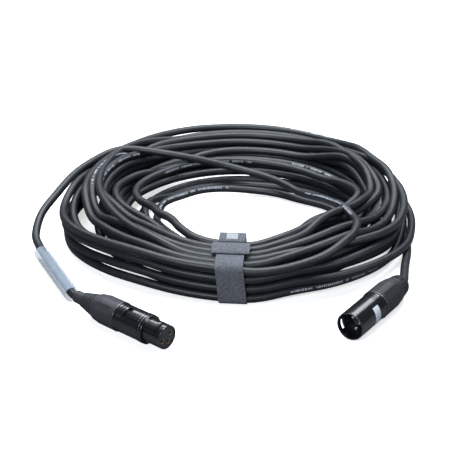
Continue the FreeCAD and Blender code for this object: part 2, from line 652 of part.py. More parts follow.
def rounded_route(points):
    """Straight runs joined by tangent arcs, as large as each pair of runs allows.

    The last bend, behind a boot, is kept short."""
    edges, radii, here = [], [], points[0]
    for before, corner, after in zip(points, points[1:], points[2:]):
        into, out = corner - before, after - corner
        turn = into.getAngle(out)
        reach = 0.45 * min(into.Length, out.Length)
        if after is points[-1]:
            reach = min(reach, size("exit_bend"))
        radii.append(reach / math.tan(turn / 2))
        start, end = corner - unit(into) * reach, corner + unit(out) * reach
        edges.append(Part.LineSegment(here, start).toShape())
        edges.append(arc_between(start, end, unit(into)))
        here = end
    edges.append(Part.LineSegment(here, points[-1]).toShape())
    return edges, radii


def lead(node, points):
    """A free stretch of cable along a route chosen by hand."""
    edges, radii = rounded_route(points)
    solid = pipe(edges, cable_section(points[0], unit(points[1] - points[0])))
    length = sum(edge.Length for edge in edges)
    share = volume_share(solid, length)
    print(f"{node} {length:.0f} mm, bends {[round(r) for r in radii]}, volume share {share:.4f}")
    feature = doc.addObject("Part::Feature", node)
    feature.Shape = solid
    keep(node, feature)


def along_axis(place, distance):
    """A place on a connector's axis, measured from its mating face."""
    return place.multVec(Vector(distance, 0, 0))


# Routes of the free stretches, from the coil centre, in the order that the cable runs
FEMALE_ROUTE = [
    (40.0, -124.5, 29.5), (61.0, -112.0, 32.5), (75.5, -93.0, 33.5), (82.0, -72.0, 33.2),
    (78.0, -53.0, 33.2), (68.5, -35.5, 27.0), (62.5, -11.5, 18.5), (53.5, 9.5, 15.5),
    (39.2, 32.8, 16.0), (21.0, 49.5, 17.5), (-12.0, 62.0, 21.5), (-42.5, 59.0, 30.2),
    (-72.3, 63.8, 33.0), (-92.5, 64.5, 33.3), (-109.3, 54.7, 33.3), (-127.9, 21.5, 32.5),
    (-143.8, -12.0, 23.5), (-151.3, -31.5, 13.5), (-149.8, -52.0, 6.8)]
MALE_ROUTE = [(121.2, -50.0, 3.5), (117.8, -70.0, 4.6), (112.8, -92.5, 7.4)]


def tied_strap():
    """The tie: a strap once round the bundle, out through the slot of its own wide head."""
    thick, gap = size("strap_thickness"), size("strap_gap")
    radius = size("cable_corner_radius")
    loops = size("coil_loops_per_layer")
    outer = size("coil_front_radius - coil_front_pitch / 2")
    inner = outer - (loops - 1) * size("coil_front_pitch")
    front = -(outer + radius + gap)
    back = -(inner - radius - size("strap_inner_gap"))
    low = thick
    high = size("coil_tie_height + 3 * coil_layer_step") + radius + gap
    corner = size("strap_corner")
    layer = thick + size("strap_layer_gap")
    slot = back - size("slot_place")
    opening = size("slot_opening")

    def ring_corner(centre, start_angle):
        """Inner and outer arcs of one rounded corner of the strap."""
        arcs = []
        for reach in (corner, corner + thick):
            ends = [centre + Vector(0, reach * math.cos(math.radians(start_angle + step)),
                                    reach * math.sin(math.radians(start_angle + step)))
                    for step in (0, 45, 90)]
            arcs.append(Part.Arc(*ends))
        return arcs

    def strip(points, width):
        """A flat outline in the plane across the bundle, widened along it."""
        face = Part.Face(Part.Wire(points))
        face.translate(Vector(-width / 2, 0, 0))
        return face.extrude(Vector(width, 0, 0))

    def band(y0, y1, z0, z1, width):
        return Part.makeBox(width, y1 - y0, z1 - z0, Vector(-width / 2, y0, z0))

    def bend(centre_y, centre_z, start_angle, width):
        inside, outside = ring_corner(Vector(0, centre_y, centre_z), start_angle)
        start = Part.LineSegment(inside.StartPoint, outside.StartPoint)
        end = Part.LineSegment(inside.EndPoint, outside.EndPoint)
        return strip([start.toShape(), outside.toShape(), end.toShape(), inside.toShape()], width)

    width, head = size("strap_width"), size("head_width")
    pieces = [
        band(front - thick, front, low + corner, high - corner, width),
        band(back, back + thick, low + corner, high - corner, width),
        band(front + corner, back - corner, low - thick, low, width),
        bend(front + corner, low + corner, 180, width),
        bend(back - corner, low + corner, 270, width),
        bend(front + corner, high - corner, 90, width),
        bend(back - corner, high - corner, 0, width),
        band(front + corner, slot - opening, high, high + thick, width),
        band(slot + opening / 2, back - corner, high, high + thick, head),
        band(slot - opening - thick, slot - opening, high + thick, high + layer, width)]
    top_end = back - size("head_length")
    over = high + layer
    side_width = (head - width) / 2
    pieces.append(band(top_end, slot - opening, over, over + thick, head))
    for side in (-1, 1):
        low_x = -head / 2 if side < 0 else head / 2 - side_width
        cheek = Part.makeBox(side_width, opening * 1.5 + 4, layer + thick,
                             Vector(low_x, slot - opening - 2, high))
        pieces.append(cheek)
    solid = pieces[0].multiFuse(pieces[1:]).removeSplitter()
    strap = doc.addObject("Part::Feature", "tie_strap")
    strap.Shape = solid
    keep("tie_strap", strap, coil_frame)

    # the tail turns up from the slot, lies on the head and hangs down behind the bundle
    tail_width = width - 0.6
    hinge_y = slot - opening / 4
    rise = over + thick / 2
    drop_y = back + thick + 0.3
    shoulder = corner - 0.5
    eye = Part.makeCylinder(thick / 2, tail_width, Vector(-tail_width / 2, hinge_y, rise), Vector(1, 0, 0))
    flat = band(hinge_y, drop_y - shoulder, over, over + thick, tail_width)
    centre = Vector(0, drop_y - shoulder, over - shoulder)
    arcs = []
    for reach in (shoulder, shoulder + thick):
        ends = [centre + Vector(0, reach * math.cos(math.radians(step)), reach * math.sin(math.radians(step)))
                for step in (0, 45, 90)]
        arcs.append(Part.Arc(*ends))
    elbow = strip([Part.LineSegment(arcs[0].StartPoint, arcs[1].StartPoint).toShape(), arcs[1].toShape(),
                   Part.LineSegment(arcs[1].EndPoint, arcs[0].EndPoint).toShape(), arcs[0].toShape()],
                  tail_width)
    drop = band(drop_y, drop_y + thick, over - shoulder - size("tail_drop"), over - shoulder, tail_width)
    tail = doc.addObject("Part::Feature", "tie_tail")
    tail.Shape = eye.multiFuse([flat, elbow, drop]).removeSplitter()
    keep("tie_tail", tail, coil_frame)
    print("tail hinge", coil_frame.multVec(Vector(0, hinge_y, rise)))


coil_centre = Vector(size("coil_centre_x"), size("coil_centre_y"), 0)
coil_frame = FreeCAD.Placement(coil_centre, FreeCAD.Rotation(Vector(0, 0, 1), size("coil_turned")))
male_place = male_connector()
female_place = female_connector()
coil_start, coil_end = wound_cable()

male_tip = size("male_shell_length + male_bushing_length + male_boot_length")
male_jacket = size("insert_depth + insert_length + cup_length + jacket_back")
male_points = coil_start + [coil_centre + Vector(*p) for p in MALE_ROUTE]
male_points += [along_axis(male_place, male_tip + size("exit_length")), along_axis(male_place, male_jacket)]
lead("cable_lead_male", male_points)

female_tip = size("female_shell_length + female_bushing_length + female_boot_length")
female_jacket = size("female_insert_length + cup_length + jacket_back")
bend = along_axis(female_place, female_tip + size("exit_length"))
female_points = coil_end + [coil_centre + Vector(*p) for p in FEMALE_ROUTE]
female_points += [bend, along_axis(female_place, female_jacket)]
lead("cable_lead_female", female_points)

# the label sleeve hangs on the last straight run before the female connector
run = unit(female_points[-3] - bend)
sideways = unit(run.cross(Vector(0, 0, 1)))
slack = size("label_bore - cable_corner_radius - label_seat")
sleeve_start = bend + run * size("label_start") + run.cross(sideways) * slack
sleeve = doc.addObject("Part::Feature", "label_sleeve")
outer_tube = Part.makeCylinder(size("label_bore + label_wall"), size("label_length"), sleeve_start, run)
sleeve.Shape = outer_tube.cut(Part.makeCylinder(size("label_bore"), size("label_length"), sleeve_start, run))
keep("label_sleeve", sleeve)
print("sleeve axis", run, "from", sleeve_start)

tied_strap()
doc.recompute()

for feature in doc.Objects:
    if "Invalid" in feature.State or "Error" in feature.State:
        raise RuntimeError(f"{feature.Name} failed: {feature.State}")
os.makedirs("parts", exist_ok=True)
for node, feature in parts.items():
    shape = feature.Shape
    if shape.isNull() or not shape.isValid() or not shape.Solids:
        raise RuntimeError(f"{node} has no valid solid")
    shape.exportStep(f"parts/{node}.step")
    box = shape.BoundBox
    print(f"{node}: {len(shape.Solids)} solid, {shape.Volume:.0f} mm3, z {box.ZMin:.2f} to {box.ZMax:.2f}")
whole = Part.makeCompound([feature.Shape for feature in parts.values()]).BoundBox
print(f"{len(parts)} nodes, x {whole.XMin:.1f} {whole.XMax:.1f}, y {whole.YMin:.1f} {whole.YMax:.1f}, "
      f"z {whole.ZMin:.2f} {whole.ZMax:.2f}")
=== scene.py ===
# %% [markdown]
# # A coiled microphone lead
# The part is a long black lead, wound in a loose round pile of loops and tied at the front. One end
# has a connector with a push latch and a face of three sockets, the other an open mouth with three
# pins. The construction model gives the sizes and the rigid pieces; this lesson dresses them.

# %% Load the construction model
import math
import random
import bmesh
import bpy
from mathutils import Matrix, Vector


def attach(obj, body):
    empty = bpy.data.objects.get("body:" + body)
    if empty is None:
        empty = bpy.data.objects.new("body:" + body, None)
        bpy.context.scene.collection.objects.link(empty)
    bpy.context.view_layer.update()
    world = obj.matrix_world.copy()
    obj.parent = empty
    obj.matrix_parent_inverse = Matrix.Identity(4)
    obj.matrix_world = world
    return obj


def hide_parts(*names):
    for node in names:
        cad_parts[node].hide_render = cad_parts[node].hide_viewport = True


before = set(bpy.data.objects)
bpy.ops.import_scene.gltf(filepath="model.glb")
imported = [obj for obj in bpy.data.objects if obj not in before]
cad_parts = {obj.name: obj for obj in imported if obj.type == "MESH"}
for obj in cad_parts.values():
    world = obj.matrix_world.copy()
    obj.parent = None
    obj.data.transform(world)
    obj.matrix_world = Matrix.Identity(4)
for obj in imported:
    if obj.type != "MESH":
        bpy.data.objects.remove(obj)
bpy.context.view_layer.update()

MM = 0.001

# %% [markdown]
# ## Where things are
# All places below are written in millimetres from the middle of the coil, on the surface, because
# that is how the coil was laid out. One function turns them into metres in the model's own frame.
# The wound part and its tie are turned a few degrees, so they have a second one.

# %% Places in the model
COIL_CENTRE = Vector((10.8, 26.9, 0.0))
COIL_TURNED = math.radians(-4.5)


def place(point):
    return (Vector(point) + COIL_CENTRE) * MM


def place_turned(point):
    return place(Matrix.Rotation(COIL_TURNED, 3, "Z") @ Vector(point))


print("coil centre", tuple(place((0, 0, 0))))

# %% [markdown]
# ## Camera
# The photograph was taken from in front and 26 degrees above the surface, with a longish lens. The
# round outline of the coil and the size of near and far strands fix both the height and the lens.

# %% Camera
CAMERA_ELEVATION = math.radians(26.0)
CAMERA_DISTANCE = 0.915
CAMERA_AIM = Vector((-12.0, -8.0, 0.0))
SENSOR_WIDTH, LENS = 36.0, 96.0
camera_target = (COIL_CENTRE + CAMERA_AIM) * MM
towards_camera = Vector((0, -math.cos(CAMERA_ELEVATION), math.sin(CAMERA_ELEVATION)))
camera_data = bpy.data.cameras.new("studio_camera")
camera_data.sensor_width = SENSOR_WIDTH
camera_data.lens = LENS
camera = bpy.data.objects.new("studio_camera", camera_data)
camera.location = camera_target + towards_camera * CAMERA_DISTANCE
camera.rotation_euler = (math.pi / 2 - CAMERA_ELEVATION, 0, 0)
bpy.context.scene.collection.objects.link(camera)
bpy.context.scene.camera = camera
print("camera at", tuple(camera.location))

# %% [markdown]
# ## A small language for finishes
# A finish is a graph of shader nodes. Written out link by link it is hard to read, so one class
# wraps a socket and turns plus and times into Math nodes, and one method makes any other node from
# its type, its settings and what goes into its sockets.

# %% Shader sums
# places of sockets that share their name with others on the same node
OBJECT_SPACE = 3
MIX_SHARE, MIX_FIRST, MIX_SECOND, MIX_RESULT = 0, 6, 7, 2


class Amount:
    """A number that varies over a surface, and takes part in sums."""

    def __init__(self, finish, socket):
        self.finish = finish
        self.socket = socket

    def _with(self, operation, first, second):
        return self.finish.node("ShaderNodeMath", {"operation": operation}, {0: first, 1: second})

    def __add__(self, other):
        return self._with("ADD", self, other)

    def __radd__(self, other):
        return self._with("ADD", other, self)

    def __mul__(self, other):
        return self._with("MULTIPLY", self, other)

    def __rmul__(self, other):
        return self._with("MULTIPLY", other, self)


class Finish:
    """A named material whose nodes are made one call at a time."""

    def __init__(self, name, metallic=0.0, coat=0.0, coat_roughness=0.1, specular=0.5):
        self.material = bpy.data.materials.new(name)
        self.material.use_nodes = True
        self.tree = self.material.node_tree
        self.shader = self.tree.nodes["Principled BSDF"]
        self.shader.inputs["Metallic"].default_value = metallic
        self.shader.inputs["Coat Weight"].default_value = coat
        self.shader.inputs["Coat Roughness"].default_value = coat_roughness
        self.shader.inputs["Specular IOR Level"].default_value = specular

    def node(self, kind, settings=None, inputs=None, out=0):
        made = self.tree.nodes.new(kind)
        for key, value in (settings or {}).items():
            setattr(made, key, value)
        for key, value in (inputs or {}).items():
            self.feed(made.inputs[key], value)
        return Amount(self, made.outputs[out])

    def feed(self, socket, value):
        if isinstance(value, Amount):
            self.tree.links.new(value.socket, socket)
        elif isinstance(value, (tuple, list, Vector)) and socket.type == "RGBA":
            socket.default_value = (*value[:3], 1.0)
        else:
            socket.default_value = value

    def wear(self, scale, detail=3.0, roughness=0.5, stretch=None):
        """Cloudy noise from 0 to 1, in the object's own space."""
        at = self.node("ShaderNodeTexCoord", out=OBJECT_SPACE)
        if stretch:
            at = self.node("ShaderNodeMapping", inputs={"Vector": at, "Scale": stretch})
        return self.node("ShaderNodeTexNoise", inputs={
            "Vector": at, "Scale": scale, "Detail": detail, "Roughness": roughness})

    def blend(self, share, first, second):
        colours = {MIX_SHARE: share, MIX_FIRST: first, MIX_SECOND: second}
        return self.node("ShaderNodeMix", {"data_type": "RGBA"}, colours, out=MIX_RESULT)

    def ramp(self, amount, low, high):
        return self.node("ShaderNodeMapRange", inputs={"Value": amount, "From Min": low, "From Max": high})

    def relief(self, height, strength, distance):
        bump = self.node("ShaderNodeBump", inputs={
            "Height": height, "Strength": strength, "Distance": distance})
        self.feed(self.shader.inputs["Normal"], bump)

    def surface(self, colour=None, roughness=None, alpha=None):
        for key, value in (("Base Color", colour), ("Roughness", roughness), ("Alpha", alpha)):
            if value is not None:
                self.feed(self.shader.inputs[key], value)


print("shader helpers ready")

# %% [markdown]
# ## Finishes of the cable
# The jacket is black soft vinyl with a matte, faintly mottled skin. It picks up pale handling marks,
# so its roughness and its blackness both drift along the cable.

# %% Jacket
jacket = Finish("jacket_black", specular=0.5)
drift = jacket.wear(38.0, detail=4.0)
grain = jacket.wear(2600.0, detail=2.0)
dust = jacket.ramp(jacket.wear(210.0, detail=5.0, roughness=0.62), 0.52, 0.8)
jacket_colour = jacket.blend(drift, (0.0066, 0.0082, 0.0118), (0.0105, 0.0128, 0.0175))
jacket_colour = jacket.blend(dust * 0.18, jacket_colour, (0.07, 0.073, 0.078))
jacket.surface(jacket_colour, 0.40 + drift * 0.10 + dust * 0.12)
jacket.relief(grain, 0.12, 0.00006)
print("jacket", jacket.material.name)

# %% [markdown]
# ## The cable
# The whole cable is one line, so it is one spline, from the male connector to the female one. The
# free stretches follow points that were read off the photograph. The loops follow a formula: they
# spiral in and out again, and climb one layer each time. Where the tie holds them they lie side by
# side, and everywhere else they fan out.

# %% Loops of the coil
LOOPS, LAYERS = 6, 4
FIRST_TURN, LAST_TURN = 0.75, 23.5
LAYER_STEP = 7.2
# outermost radius, step between loops, share of it lost by the top layer, and height of the lowest,
# at the back, the left, the front and the right
STATIONS = [
    (138.0, 15.4, 0.5, 3.4), (132.0, 12.2, 0.4, 3.4),
    (131.5, 7.0, 0.0, 4.6), (131.8, 11.3, 0.36, 3.4)]
# part of a turn, before and after the change, in which the cable climbs to its next layer
CLIMB_REACH = 0.26
# climbs whose product is under this count as none
LEVEL = 1e-9
# handle of a curve, as a share of its chord, that makes a quarter turn round
ROUND_REACH = 0.3905
# keeps a station from falling into the quarter before it
NEARLY = 1e-6


def loop_station(turns):
    """The cable's place at the back, left, front or right of a loop."""
    quarter = round(turns * 4)
    radius, pitch, narrowing, base = STATIONS[quarter % 4]
    spiral = turns % (2 * LOOPS)
    inward = spiral if spiral < LOOPS else 2 * LOOPS - spiral
    layer = math.floor(turns / LOOPS)
    turn_round = round(turns / LOOPS)
    climb = turns - LOOPS * turn_round
    if abs(climb) < CLIMB_REACH and turn_round > 0:
        layer = turn_round - 0.5 + 2 * climb
    pitch *= 1 - narrowing * math.floor((turns - CLIMB_REACH) / LOOPS) / (LAYERS - 1)
    radius -= inward * pitch
    angle = math.pi / 2 + 2 * math.pi * turns
    return Vector((radius * math.cos(angle), radius * math.sin(angle), base + layer * LAYER_STEP))


def loop_heading(turns):
    """The cable's heading at a station, level unless it climbs both before and after it."""
    before = loop_station(turns) - loop_station(turns - 0.25)
    after = loop_station(turns + 0.25) - loop_station(turns)
    heading = before + after
    if before.z * after.z <= LEVEL:
        heading.z = 0
    return heading.normalized()


def loop_point(turns):
    """A place between two stations, on the round curve that joins them."""
    start = math.floor(turns * 4 + NEARLY) / 4
    share = (turns - start) * 4
    first, last = loop_station(start), loop_station(start + 0.25)
    reach = (last - first).length * ROUND_REACH
    guides = [first, first + loop_heading(start) * reach, last - loop_heading(start + 0.25) * reach, last]
    weights = [(1 - share) ** 3, 3 * share * (1 - share) ** 2, 3 * share ** 2 * (1 - share), share ** 3]
    return sum((guide * weight for guide, weight in zip(guides, weights)), Vector())


print(LAST_TURN - FIRST_TURN, "turns in", LAYERS, "layers")

# %% [markdown]
# ## Loosening the loops
# A real coil is not that neat. Away from the tie each loop wanders in or out by up to a centimetre,
# and the outermost and innermost ones bulge or draw in where the photograph shows it.

# %% Loose loops
STRAY = 10.0
STRAYS_PER_TURN = 3
slack = random.Random(23)
strays = [slack.uniform(-1, 1) for i in range(int(LAST_TURN + 2) * STRAYS_PER_TURN)]
# direction of a bulge, its half width, how far it reaches, and the loops from none to all of it,
# counted inwards as shares of the bundle
BULGES = [
    (106, 50, 9.0, 0.4, 0.0), (160, 34, -6.0, 0.5, 0.0), (214, 42, 9.0, 0.3, 0.0),
    (33, 32, -12.0, 0.7, 0.0), (330, 30, 6.0, 0.4, 0.0), (300, 28, 7.0, 0.3, 0.0),
    (204, 30, 6.0, 0.3, 0.0), (318, 52, -17.0, 0.3, 1.0), (226, 44, -11.0, 0.4, 1.0),
    (182, 40, 7.0, 0.6, 1.0), (8, 36, 7.0, 0.6, 1.0)]
# loops swell upwards beside the tie that draws them in, and the lowest ones spread outwards
BESIDE_TIE = 5.0
SPREAD, SPREAD_AT_TIE = 12.0, 7.0
# direction of the tie, the degrees to either side of it where the loops keep their places, and how
# many more each of these takes to reach its size
TIE_PLACE, TIE_EDGE = 270, 9
STRAY_FADE, BULGE_FADE, SWELL_FADE, SPREAD_FADE = 55, 36, 12, 40
# where the swelling has died away again, and over how many degrees it does so
SWELL_END, SWELL_FALL = 80, 40
# one over the part of the first and of the last turn in which straying comes and goes, and one over
# the part of the bundle, from the outermost loop inwards, in which straying outwards comes
FIRST_FADE, LAST_FADE, OUTER_FADE = 4, 3, 3
# turn where the lowest loops end, and over how many turns their spread has faded by then
LOWEST_END, LOWEST_FADE = 5.5, 4
# least radius of a loop's centre line, at each step round from the right
HOLE = [71.0, 55.0, 47.0, 53.0, 62.0, 76.0, 80.0, 76.0]
HOLE_STEP = 45


def smooth(share):
    share = max(0.0, min(1.0, share))
    return share * share * (3 - 2 * share)


def direction(turns):
    """Direction of a place on the loops from their middle, in degrees from the right."""
    return (90 + 360 * turns) % 360


def loose_point(turns):
    """A place on the loosened loops, still at the height of its layer but for the swelling."""
    point = loop_point(turns)
    degrees = direction(turns)
    from_tie = abs(degrees - TIE_PLACE)
    past_tie = from_tie - TIE_EDGE
    from_start = smooth((turns - FIRST_TURN) * FIRST_FADE)
    freedom = smooth(past_tie / STRAY_FADE) * from_start * smooth((LAST_TURN - turns) * LAST_FADE)
    number = int(turns * STRAYS_PER_TURN)
    share = smooth(turns * STRAYS_PER_TURN - number)
    offset = STRAY * freedom * (strays[number] * (1 - share) + strays[number + 1] * share)
    spiral = turns % (2 * LOOPS)
    inward = min(spiral, 2 * LOOPS - spiral) / LOOPS
    if offset > 0:
        offset *= smooth(inward * OUTER_FADE)
    for centre, half_width, reach, none, whole in BULGES:
        loops_share = smooth((inward - none) / (whole - none))
        width_share = smooth(1 - abs(degrees - centre) / half_width)
        offset += reach * loops_share * width_share * smooth(past_tie / BULGE_FADE)
    lowest = smooth((LOWEST_END - turns) / LOWEST_FADE) * from_start
    offset += lowest * (SPREAD_AT_TIE + (SPREAD - SPREAD_AT_TIE) * smooth(past_tie / SPREAD_FADE))
    radius = point.xy.length + offset
    eighth = int(degrees // HOLE_STEP)
    grows = HOLE[(eighth + 1) % len(HOLE)] - HOLE[eighth]
    hole = HOLE[eighth] + grows * smooth(degrees / HOLE_STEP - eighth)
    if past_tie > 0:
        radius = max(radius, hole)
    lift = BESIDE_TIE * smooth(past_tie / SWELL_FADE) * smooth((SWELL_END - from_tie) / SWELL_FALL)
    scale = radius / point.xy.length
    return Vector((point.x * scale, point.y * scale, point.z + lift))


print(len(strays), "strays and", len(BULGES), "bulges")

# %% [markdown]
# ## From the coil to the connectors
# The free stretches run along points that were read off the photograph, listed from the coil
# outwards. A boot holds the cable straight, so the last points lie on the connector's own axis.

# %% Free stretches
MALE_ROUTE = [(121.2, -50.0, 3.5), (117.8, -70.0, 4.6), (112.8, -92.5, 7.4)]
FEMALE_ROUTE = [
    (40.0, -124.5, 29.5), (61.0, -112.0, 32.5), (75.5, -93.0, 33.5), (82.0, -72.0, 33.2),
    (78.0, -53.0, 33.2), (68.5, -35.5, 27.0), (62.5, -11.5, 18.5), (53.5, 9.5, 15.5),
    (39.2, 32.8, 16.0), (21.0, 49.5, 17.5), (-12.0, 62.0, 21.5), (-42.5, 59.0, 30.2),
    (-72.3, 63.8, 33.0), (-92.5, 64.5, 33.3), (-109.3, 54.7, 33.3), (-127.9, 21.5, 32.5),
    (-143.8, -12.0, 23.5), (-151.3, -31.5, 13.5), (-149.8, -52.0, 6.8)]
AXIS_HEIGHT = 10.3
MALE_LENGTH, FEMALE_LENGTH = 70.5, 81.0
# distances of points on the axis from the end of the boot, and from the last of them to the next
ON_AXIS = (-18.0, -3.5, 3.5)
BEND_LENGTH = 7.0


def connector_frame(x, y, yaw, roll):
    """From a connector's own axis, mating face at zero, to the model."""
    turn = Matrix.Rotation(math.radians(yaw), 4, "Z") @ Matrix.Rotation(math.radians(-roll), 4, "X")
    return Matrix.Translation(Vector((x, y, AXIS_HEIGHT)) + COIL_CENTRE) @ turn


def behind_boot(end, length, next_point):
    """Points on the axis through the boot, and one past the bend just behind it."""
    on_axis = [end @ Vector((length + reach, 0, 0)) * MM for reach in ON_AXIS]
    run = place(next_point) - on_axis[-1]
    return on_axis + [on_axis[-1] + run.normalized() * BEND_LENGTH * MM]


male = connector_frame(67.0, -176.0, yaw=55.0, roll=107.5)
female = connector_frame(-48.0, -189.0, yaw=140.0, roll=21.0)
start_heading, end_heading = loop_heading(FIRST_TURN), loop_heading(LAST_TURN)
first_loop, last_loop = loop_point(FIRST_TURN), loop_point(LAST_TURN)
print("male face at", tuple(male.translation * MM), "female face at", tuple(female.translation * MM))

# %% [markdown]
# ## Laying the cable down
# Loops that wander would run through each other, so the cable is laid down in order: each stretch
# rests on whatever already lies under it, and comes down from it again no steeper than a stiff cable
# does. The tie holds its loops at the heights of the construction model.

# %% Lay the cable down
# distance between places on the free stretches, and the cable's thickness
STEP = 4.0
THICK = 6.0
# the steepest that it falls, its gap over the surface, and how far a loop settles into its layer
STIFF_SLOPE, GAP, SETTLED = 0.3, 0.4, 2.0
# resting on others raises no place above this
TOP = 32.9
# places along the cable that are too near to lie under one another
NEIGHBOURS = 20
CORNER_CUTS, PASSES = 3, 4


def rounded(points):
    """Places about one step apart, once corners are cut off a quarter in from each end, repeatedly."""
    for cut_number in range(CORNER_CUTS):
        cut = []
        for a, b in zip(points, points[1:]):
            cut += [a.lerp(b, 0.25), a.lerp(b, 0.75)]
        points = [points[0]] + cut + [points[-1]]
    places = []
    for a, b in zip(points, points[1:]):
        count = max(1, round((b - a).length / STEP))
        places += [a.lerp(b, i / count) for i in range(count)]
    return places + [points[-1]]


def supports(places):
    """For each place, the earlier ones that lie right under it, and how far above them it must be."""
    grid, found = {}, []
    for number, place_now in enumerate(places):
        cell = (int(place_now.x // THICK), int(place_now.y // THICK))
        under = []
        for i in (-1, 0, 1):
            for j in (-1, 0, 1):
                for other in grid.get((cell[0] + i, cell[1] + j), []):
                    apart = (places[other].xy - place_now.xy).length
                    if number - other > NEIGHBOURS and apart < THICK:
                        under.append((other, math.sqrt(THICK * THICK - apart * apart)))
        found.append(under)
        grid.setdefault(cell, []).append(number)
    return found


def laid(places, held):
    """Heights of the cable when it is laid down in order. Held places keep their own height."""
    under = supports(places)
    floor = [max(THICK / 2 + GAP, place_now.z - SETTLED) for place_now in places]
    heights = [place_now.z if held_now else low for place_now, held_now, low in zip(places, held, floor)]
    for pass_number in range(PASSES):
        for number, found in enumerate(under):
            if held[number]:
                continue
            resting = [heights[other] + lift for other, lift in found]
            heights[number] = min(max([heights[number]] + resting), TOP)
        for order in (range(1, len(heights)), range(len(heights) - 2, -1, -1)):
            for number in order:
                before = number - order.step
                drop = STIFF_SLOPE * (places[number].xy - places[before].xy).length
                if not held[number]:
                    heights[number] = max(heights[number], heights[before] - drop)
    return heights


FINE_PER_TURN = 180
# the middle of the cable reaches no further back than this, as in the construction model
BACK_EDGE = 137.4
# the coil's ends run straight on for these lengths before the free stretches bend
STRAIGHT_ON = (9.0, 26.0)
# degrees to either side of the tie's middle where it holds the loops at their heights
TIE_HOLD = 7.0
# past the edge of the pile the free stretch hangs down to its connector
PILE_EDGE, PILE_SIDE = -10.0, -100


def kept_inside(point):
    share = min(1.0, BACK_EDGE / point.y) if point.y > 0 else 1.0
    return Vector((point.x * share, point.y * share, point.z))


turn_steps = round((LAST_TURN - FIRST_TURN) * FINE_PER_TURN)
turn_list = [FIRST_TURN + i / FINE_PER_TURN for i in range(turn_steps + 1)]
turned = Matrix.Rotation(COIL_TURNED, 3, "Z")
loops = [kept_inside(turned @ loose_point(turns)) for turns in turn_list]
male_run = [Vector(point) for point in reversed(MALE_ROUTE)]
male_run += [turned @ (first_loop - start_heading * reach) for reach in reversed(STRAIGHT_ON)]
male_run = rounded(male_run + [loops[0]])
female_run = [turned @ (last_loop + end_heading * reach) for reach in STRAIGHT_ON]
female_run = rounded([loops[-1]] + female_run + [Vector(point) for point in FEMALE_ROUTE])
whole_run = male_run[:-1] + loops + female_run[1:]
held = [True] * (len(male_run) - 1)
held += [abs(direction(turns) - TIE_PLACE) < TIE_HOLD for turns in turn_list]
held += [point.y < PILE_EDGE and point.x < PILE_SIDE for point in female_run[1:]]
heights = laid(whole_run, held)
whole_run = [Vector((point.x, point.y, height)) for point, height in zip(whole_run, heights)]
print(len(whole_run), "places, the highest at", round(max(heights), 1), "mm")

# %% Points of the spline
SKIP = 6
chosen = whole_run[::SKIP]
chosen += [] if chosen[-1] is whole_run[-1] else [whole_run[-1]]
# a spline cuts inside its points, so each point moves out by what the curve would lose
LOST = 0.125
moved = [b * (1 + 2 * LOST) - (a + c) * LOST for a, b, c in zip(chosen, chosen[1:], chosen[2:])]
cable_points = behind_boot(male, MALE_LENGTH, MALE_ROUTE[-1])
cable_points += [place(point) for point in moved]
cable_points += reversed(behind_boot(female, FEMALE_LENGTH, FEMALE_ROUTE[-1]))
print(len(cable_points), "points of the spline")

# %% The spline
CABLE_DIAMETER = 6.0 * MM


def cable_curve(name, points, thickness):
    data = bpy.data.curves.new(name, "CURVE")
    data.dimensions = "3D"
    spline = data.splines.new("NURBS")
    spline.points.add(len(points) - 1)
    for slot, point in zip(spline.points, points):
        slot.co = (*point, 1.0)
    spline.order_u = 3
    spline.use_endpoint_u = True
    spline.resolution_u = 4
    data.bevel_depth = thickness / 2
    data.bevel_resolution = 5
    data.use_fill_caps = thickness > 0
    made = bpy.data.objects.new(name, data)
    bpy.context.scene.collection.objects.link(made)
    return made


cable = cable_curve("cable", cable_points, CABLE_DIAMETER)
cable.data.materials.append(jacket.material)
guide = cable_curve("cable_guide", cable_points, 0)
cable_line = [v.co.copy() for v in bpy.data.meshes.new_from_object(guide).vertices]
bpy.data.objects.remove(guide)
travelled = [0.0]
for a, b in zip(cable_line, cable_line[1:]):
    travelled.append(travelled[-1] + (b - a).length)
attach(cable, "lead")
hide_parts("cable_coil", "cable_lead_female", "cable_lead_male")
print("cable", round(travelled[-1], 3), "m long")

# %% [markdown]
# ## Marks along the cable
# The jacket of a real cable is printed in white over and over at a fixed interval, and the print turns
# slowly round it. Here it is plain ticks, like those of a measure: small patches that follow the
# points of the same spline, a hair above the jacket.

# %% Ticks
PRINT_REPEAT, PRINT_LENGTH, PRINT_START = 655.0, 80.0, 118.0
# length of cable left bare at its end
PRINT_STOP = 40
# how far the print turns to either side, and how fast it does so along the cable
PRINT_SWAY, PRINT_WAVE = 0.9, 0.011
TICK_HEIGHT = math.radians(15)
TICK_LENGTHS, TICK_SHARES = (0.7, 0.7, 1.2, 1.7), (0.65, 1.0, 1.0)
# gap to a tick of the same group, gap to the next group, and how often it is the same group
TICK_GAP, GROUP_GAP, SAME_GROUP = 0.55, 3.2, 0.86
TICK_RADIUS = 3.03
TICK_COLUMNS = 4
# the side of the cable that the print is on, up and towards the camera
PRINT_SIDE = Vector((0, -0.55, 0.83))
ink = Finish("print_white", specular=0.3)
worn = ink.wear(900.0, detail=3.0)
ink.surface(ink.blend(worn, (0.16, 0.175, 0.2), (0.44, 0.47, 0.51)), 0.5 + worn * 0.1)
tick_sizes = random.Random(5)
print_mesh = bmesh.new()


def cable_at(distance):
    """Place and heading of the cable at a distance in metres from its start."""
    low, high = 0, len(travelled) - 1
    while high - low > 1:
        middle = (low + high) // 2
        low, high = (middle, high) if travelled[middle] <= distance else (low, middle)
    share = (distance - travelled[low]) / (travelled[high] - travelled[low])
    return cable_line[low].lerp(cable_line[high], share), (cable_line[high] - cable_line[low]).normalized()


